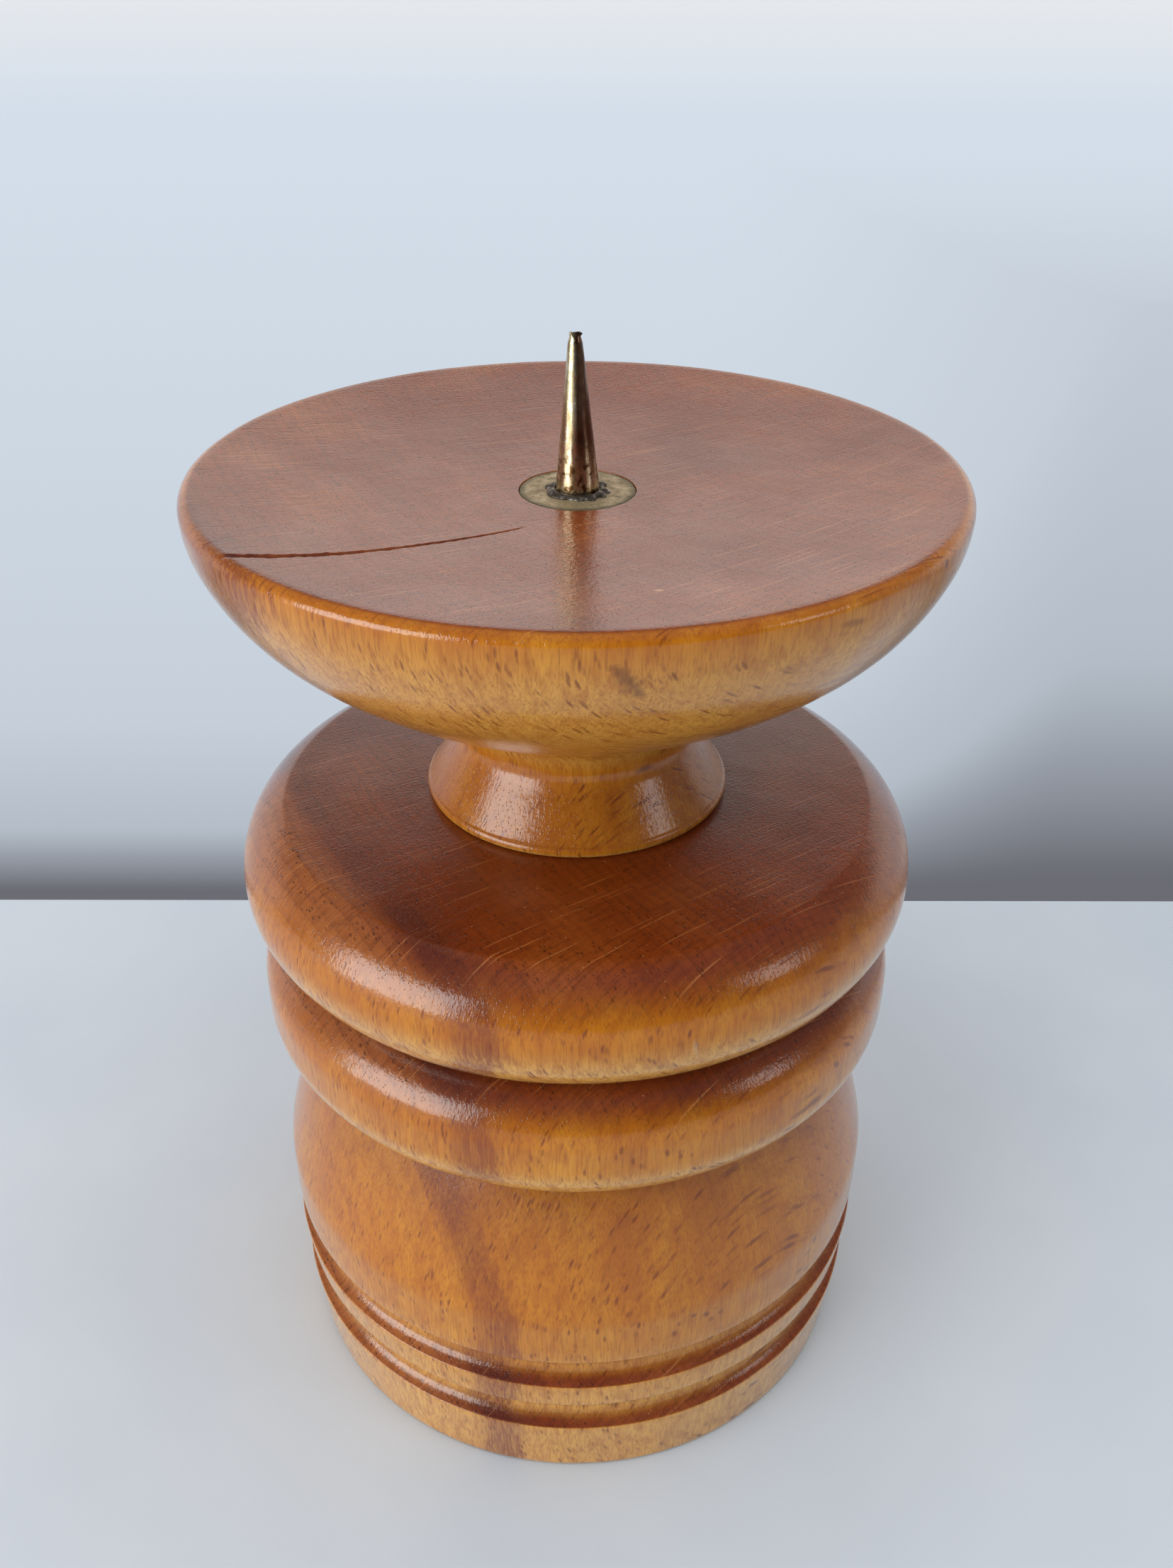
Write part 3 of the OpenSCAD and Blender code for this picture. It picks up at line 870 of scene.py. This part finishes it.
def panel(name, at, size, power, colour):
    """An area light that faces the middle of the candlestick."""
    data = bpy.data.lights.new(name, "AREA")
    data.shape, data.size, data.size_y = "RECTANGLE", *size
    data.energy, data.color = power, colour
    obj = bpy.data.objects.new(name, data)
    obj.location = at
    obj.rotation_mode = "QUATERNION"
    obj.rotation_quaternion = (Vector(MIDDLE) - Vector(at)).to_track_quat("-Z", "Y")
    bpy.context.scene.collection.objects.link(obj)
    return obj


def from_object(azimuth, elevation, distance):
    """A place seen from the candlestick: azimuth from +X anticlockwise, elevation above the table."""
    a, e = math.radians(azimuth), math.radians(elevation)
    return (distance * math.cos(e) * math.cos(a), distance * math.cos(e) * math.sin(a),
            MIDDLE[2] + distance * math.sin(e))


def plain(name, colour, glow=None):
    """A matt surface, or one that glows in its own colour."""
    p = Paint(name)
    inputs = {"Base Color": colour(p), "Roughness": 0.8, "Specular IOR Level": 0.15}
    if glow:
        inputs.update({"Base Color": (0, 0, 0, 1), "Emission Color": inputs["Base Color"],
                       "Emission Strength": glow})
    return p.finish(**inputs)


def table_colour(p):
    """A pale grey-blue top with faint clouds."""
    tone = p.noise(p.place(), 0.02, 3.0)
    return p.ramp(tone, (0.35, rgb(201, 212, 224)), (0.65, rgb(207, 217, 228)))


def wall_glow(p):
    """The glow of a pale blue wall, which is painted light: painted shade near the floor behind the table
    and towards the right, brightest and near white high up, where the varnish mirrors it, and dim at the
    very top.
    """
    x, _, z = p.add("SeparateXYZ", {0: p.place()}).outputs
    up = p.span(z, -800, 1000, smooth=False)
    shade_right = p.span(x, 100, 560, 1.0, 0.3)
    low = p.math("MULTIPLY", up, shade_right)
    up = p.math("MAXIMUM", low, p.math("MULTIPLY", p.span(up, 0.33, 0.46), up))
    return p.ramp(up, (0.006, rgb(107, 108, 115)), (0.031, rgb(150, 156, 166)),
                  (0.052, rgb(180, 189, 199)), (0.13, rgb(198, 207, 217)), (0.467, rgb(211, 222, 234)),
                  (0.583, rgb(252, 244, 238)), (0.9, rgb(255, 246, 238)), (0.935, rgb(122, 112, 108)))


def room_light():
    """Daylight from the back of the room, which is darker behind the viewer."""
    world = bpy.data.worlds.new("room")
    world.use_nodes = True
    tree = world.node_tree
    back = tree.nodes["Background"]
    way = tree.nodes.new("ShaderNodeTexCoord")
    parts = tree.nodes.new("ShaderNodeSeparateXYZ")
    amount = tree.nodes.new("ShaderNodeMapRange")
    amount.inputs["From Min"].default_value = -0.7
    amount.inputs["From Max"].default_value = 0.6
    amount.inputs["To Min"].default_value = 0.09
    amount.inputs["To Max"].default_value = 0.34
    tree.links.new(way.outputs["Generated"], parts.inputs[0])
    tree.links.new(parts.outputs[1], amount.inputs[0])
    tree.links.new(amount.outputs[0], back.inputs[1])
    back.inputs[0].default_value = (0.86, 0.93, 1.0, 1)
    bpy.context.scene.world = world


def slab(name, lo, hi):
    """A flat-sided block between two corners, in millimetres."""
    x0, y0, z0 = lo
    x1, y1, z1 = hi
    co = [(x, y, z) for z in (z0, z1) for y in (y0, y1) for x in (x0, x1)]
    faces = [[0, 2, 3, 1], [4, 5, 7, 6], [0, 1, 5, 4], [2, 6, 7, 3], [0, 4, 6, 2], [1, 3, 7, 5]]
    obj = piece_from(name, co, faces)
    obj.data.shade_flat()
    return obj


def stage():
    """A pale table whose back edge stands just behind the candlestick, and a glowing wall far behind it,
    which lights the candlestick from behind.
    """
    table = slab("table", (-1600, -1500, -30), (1600, 101.5, 0))
    table.data.materials.append(plain("table_top", table_colour))
    wall = slab("wall", (-4000, 1200, -1500), (4000, 1210, 2200))
    # The wall glows though it is no lamp: painted light that lights the candlestick from behind and is
    # mirrored in its varnish.
    wall.data.materials.append(plain("wall_glow_light", wall_glow, glow=1.0))


def windows():
    """Two windows and a soft light from above. The sky in the left window only shows as a glint."""
    panel("window_left", from_object(-146, 12, 1.5), (1.15, 0.85), 15, (1.0, 0.98, 0.95))
    sky = panel("window_sky", from_object(-146, 12, 1.48), (1.1, 0.85), 6.5, (0.66, 0.88, 1.0))
    sky.visible_diffuse = False
    panel("window_right", from_object(-24, 22, 1.8), (0.45, 0.5), 2.4, (0.95, 0.98, 1.0))
    ceiling = panel("ceiling", (0.0, -0.4, 1.9), (2.4, 2.4), 33, (1.0, 0.98, 0.96))
    ceiling.visible_glossy = False


# ------------------------------------------------------------------ everything

varnished = beech("varnished_beech")
make_base(varnished)
make_pan(varnished)
make_disc()
make_spike()
make_solder()
make_felt()
give_dowel_wood()
stage()
room_light()
windows()
camera()
bpy.context.scene.view_settings.view_transform = "Standard"
